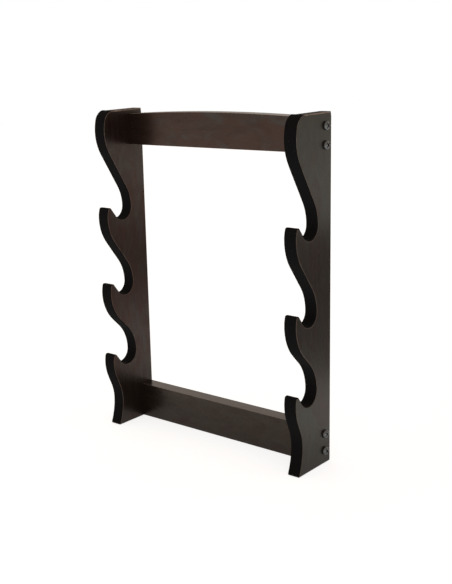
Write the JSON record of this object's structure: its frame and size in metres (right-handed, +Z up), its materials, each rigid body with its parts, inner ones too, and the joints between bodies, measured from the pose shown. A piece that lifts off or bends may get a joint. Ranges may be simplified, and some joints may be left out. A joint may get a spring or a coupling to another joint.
{
  "type": "wall sword rack",
  "caption": "Wall rack of two curved side boards with felt-lined hooks that hold swords or staffs level, joined by an upper and a lower cross rail.",
  "frame": {"origin": "on the wall plane at mid width, at the height of the feet", "axes": "+X to the right across the width, +Y into the wall (the hooks point to -Y), +Z up"},
  "size_m": [0.3514, 0.0816, 0.466],
  "materials": {
    "board_wood": "dark brown-black stain under satin lacquer",
    "rail_wood": "dark brown-black stain under satin lacquer",
    "felt": "pressed black felt",
    "black_steel": "black zinc, satin",
    "zinc_steel": "bright zinc"
  },
  "bodies": {
    "root": {"left_side_board": "board_wood", "right_side_board": "board_wood", "upper_rail": "rail_wood", "lower_rail": "rail_wood", "left_felt_strip": "felt", "right_felt_strip": "felt", "side_screws": "black_steel", "left_keyhole_plate": "zinc_steel", "right_keyhole_plate": "zinc_steel", "plate_screws": "zinc_steel"}
  },
  "joints": []
}
